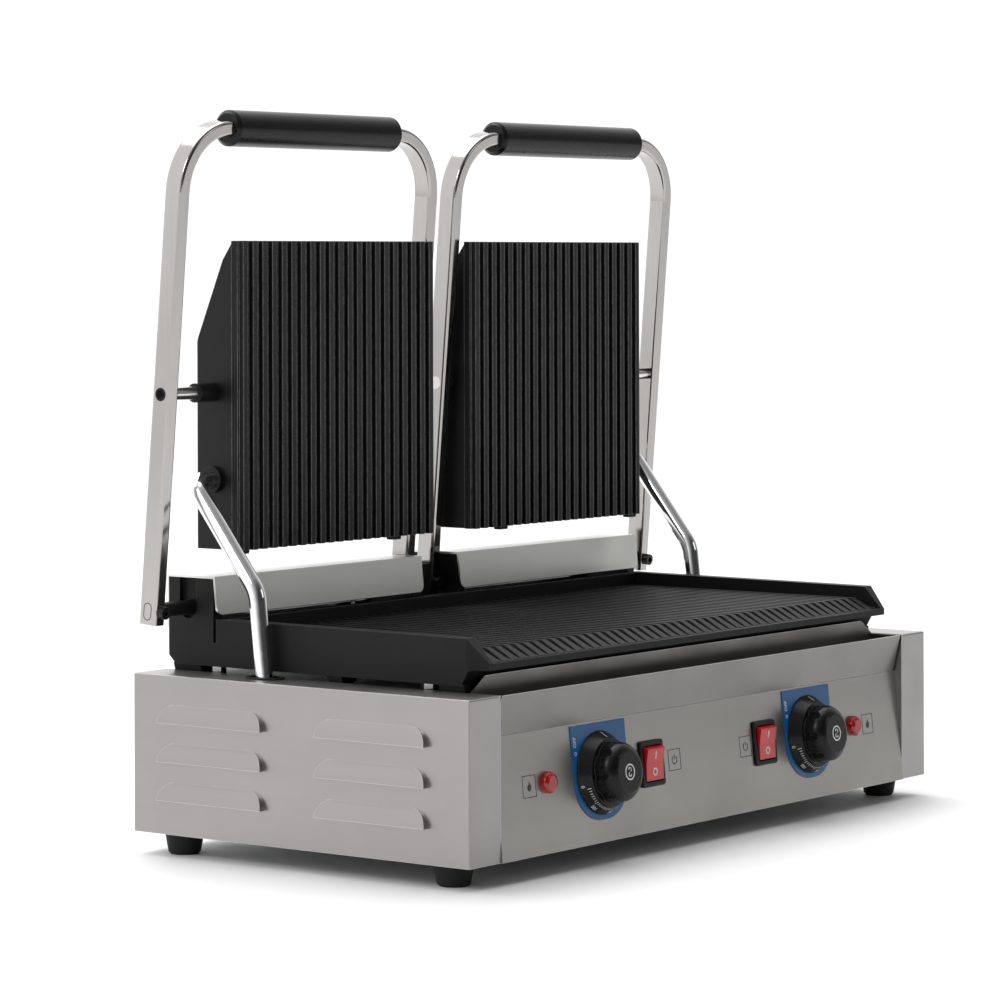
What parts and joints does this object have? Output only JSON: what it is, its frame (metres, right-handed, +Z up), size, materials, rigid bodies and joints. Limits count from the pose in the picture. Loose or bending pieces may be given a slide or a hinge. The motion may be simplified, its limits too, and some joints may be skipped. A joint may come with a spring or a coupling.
{
  "type": "contact grill",
  "caption": "Countertop contact grill: ribbed cast griddle on a steel housing, ribbed upper plates hung in hinged handle loops, dials, switches and a slide-out drip tray.",
  "frame": {"origin": "on the table, under the middle of the housing between its side walls and between its front and back edges", "axes": "+X to the right seen from the front, +Y to the back, where the arms are hinged, +Z up"},
  "size_m": [0.578, 0.3306, 0.5029],
  "materials": {
    "stainless": "satin",
    "bright_steel": "polished",
    "galvanised": "satin",
    "cast_iron": "rough",
    "black_cover": "satin",
    "black_plastic": "matte",
    "black_gloss": "gloss",
    "black_rubber": "matte",
    "chrome": "polished",
    "blue_plate": "satin",
    "red_rocker": "gloss",
    "red_lens": "gloss",
    "element": "matte",
    "spring_steel": "satin",
    "white_insulator": "matte"
  },
  "bodies": {
    "housing": {"side_cover_left": "stainless", "side_cover_right": "stainless", "base_pan": "galvanised", "back_panel": "stainless", "deck_plate": "stainless", "front_panel": "stainless", "foot_front_left": "black_rubber", "foot_front_right": "black_rubber", "foot_back_left": "black_rubber", "foot_back_right": "black_rubber", "lower_griddle": "cast_iron", "griddle_bolts": "bright_steel", "element_shield": "galvanised", "terminal_block": "white_insulator", "cable_gland": "black_plastic", "back_screws": "bright_steel", "lower_element_left": "element", "hinge_cover_left": "stainless", "hinge_spring_left": "spring_steel", "slot_liner_left": "black_rubber", "dial_plate_left": "blue_plate", "thermostat_left": "black_plastic", "switch_body_left": "black_plastic", "pilot_lamp_left": "red_lens", "lower_element_right": "element", "hinge_cover_right": "stainless", "hinge_spring_right": "spring_steel", "slot_liner_right": "black_rubber", "dial_plate_right": "blue_plate", "thermostat_right": "black_plastic", "switch_body_right": "black_plastic", "pilot_lamp_right": "red_lens"},
    "left_arm": {"handle_left": "bright_steel", "grip_left": "black_plastic", "hinge_shaft_left": "black_cover", "clamp_screws_left": "spring_steel", "plate_pins_left": "bright_steel"},
    "left_plate": {"upper_plate_left": "cast_iron", "upper_cover_left": "black_cover", "upper_element_left": "element", "plate_bushes_left": "black_cover", "tube_gland_left": "black_plastic"},
    "left_tube": {"cable_tube_left": "chrome"},
    "left_knob": {"knob_left": "black_plastic"},
    "left_rocker": {"rocker_left": "red_rocker"},
    "right_arm": {"handle_right": "bright_steel", "grip_right": "black_plastic", "hinge_shaft_right": "black_cover", "clamp_screws_right": "spring_steel", "plate_pins_right": "bright_steel"},
    "right_plate": {"upper_plate_right": "cast_iron", "upper_cover_right": "black_cover", "upper_element_right": "element", "plate_bushes_right": "black_cover", "tube_gland_right": "black_plastic"},
    "right_tube": {"cable_tube_right": "chrome"},
    "right_knob": {"knob_right": "black_plastic"},
    "right_rocker": {"rocker_right": "red_rocker"},
    "tray": {"drip_tray": "stainless"}
  },
  "joints": [
    {"name": "left_arm_hinge", "type": "hinge", "parent": "housing", "child": "left_arm", "pos_m": [-0.1485, 0.122, 0.165], "axis": [1, 0, 0], "range_deg": [0, 80.8], "stiffness_Nm_per_rad": 2.6, "springref_deg": -34.38},
    {"name": "left_plate_tilt", "type": "hinge", "parent": "left_arm", "child": "left_plate", "pos_m": [-0.1295, 0.10974, 0.31099], "axis": [1, 0, 0], "range_deg": [0, 9.3]},
    {"name": "left_tube_swing", "type": "hinge", "parent": "left_plate", "child": "left_tube", "pos_m": [-0.236, 0.1097, 0.2516], "axis": [1, 0, 0], "range_deg": [-38.2, 0]},
    {"name": "left_knob_turn", "type": "hinge", "parent": "housing", "child": "left_knob", "pos_m": [-0.133, -0.13998, 0.0604], "axis": [0, 0.995, -0.1002], "range_deg": [0, 270]},
    {"name": "left_rocker_tilt", "type": "hinge", "parent": "housing", "child": "left_rocker", "pos_m": [-0.0745, -0.13899, 0.0603], "axis": [-1, 0, 0], "range_deg": [0, 14]},
    {"name": "right_arm_hinge", "type": "hinge", "parent": "housing", "child": "right_arm", "pos_m": [0.1485, 0.122, 0.165], "axis": [1, 0, 0], "range_deg": [0, 80.8], "stiffness_Nm_per_rad": 2.6, "springref_deg": -34.38},
    {"name": "right_plate_tilt", "type": "hinge", "parent": "right_arm", "child": "right_plate", "pos_m": [0.1295, 0.10974, 0.31099], "axis": [1, 0, 0], "range_deg": [0, 9.3]},
    {"name": "right_tube_swing", "type": "hinge", "parent": "right_plate", "child": "right_tube", "pos_m": [0.236, 0.1097, 0.2516], "axis": [1, 0, 0], "range_deg": [-38.2, 0]},
    {"name": "right_knob_turn", "type": "hinge", "parent": "housing", "child": "right_knob", "pos_m": [0.123, -0.13998, 0.0604], "axis": [0, 0.995, -0.1002], "range_deg": [0, 270]},
    {"name": "right_rocker_tilt", "type": "hinge", "parent": "housing", "child": "right_rocker", "pos_m": [0.0645, -0.13899, 0.0603], "axis": [-1, 0, 0], "range_deg": [0, 14]},
    {"name": "tray_slide", "type": "slide", "parent": "housing", "child": "tray", "axis": [0, -1, 0], "range_m": [0, 0.15]}
  ],
  "couplings": [
    {"joint": "left_plate_tilt", "follows": "left_arm_hinge", "ratio": 0.11387},
    {"joint": "left_tube_swing", "follows": "left_arm_hinge", "ratio": -0.4703},
    {"joint": "right_plate_tilt", "follows": "right_arm_hinge", "ratio": 0.11387},
    {"joint": "right_tube_swing", "follows": "right_arm_hinge", "ratio": -0.4703}
  ]
}
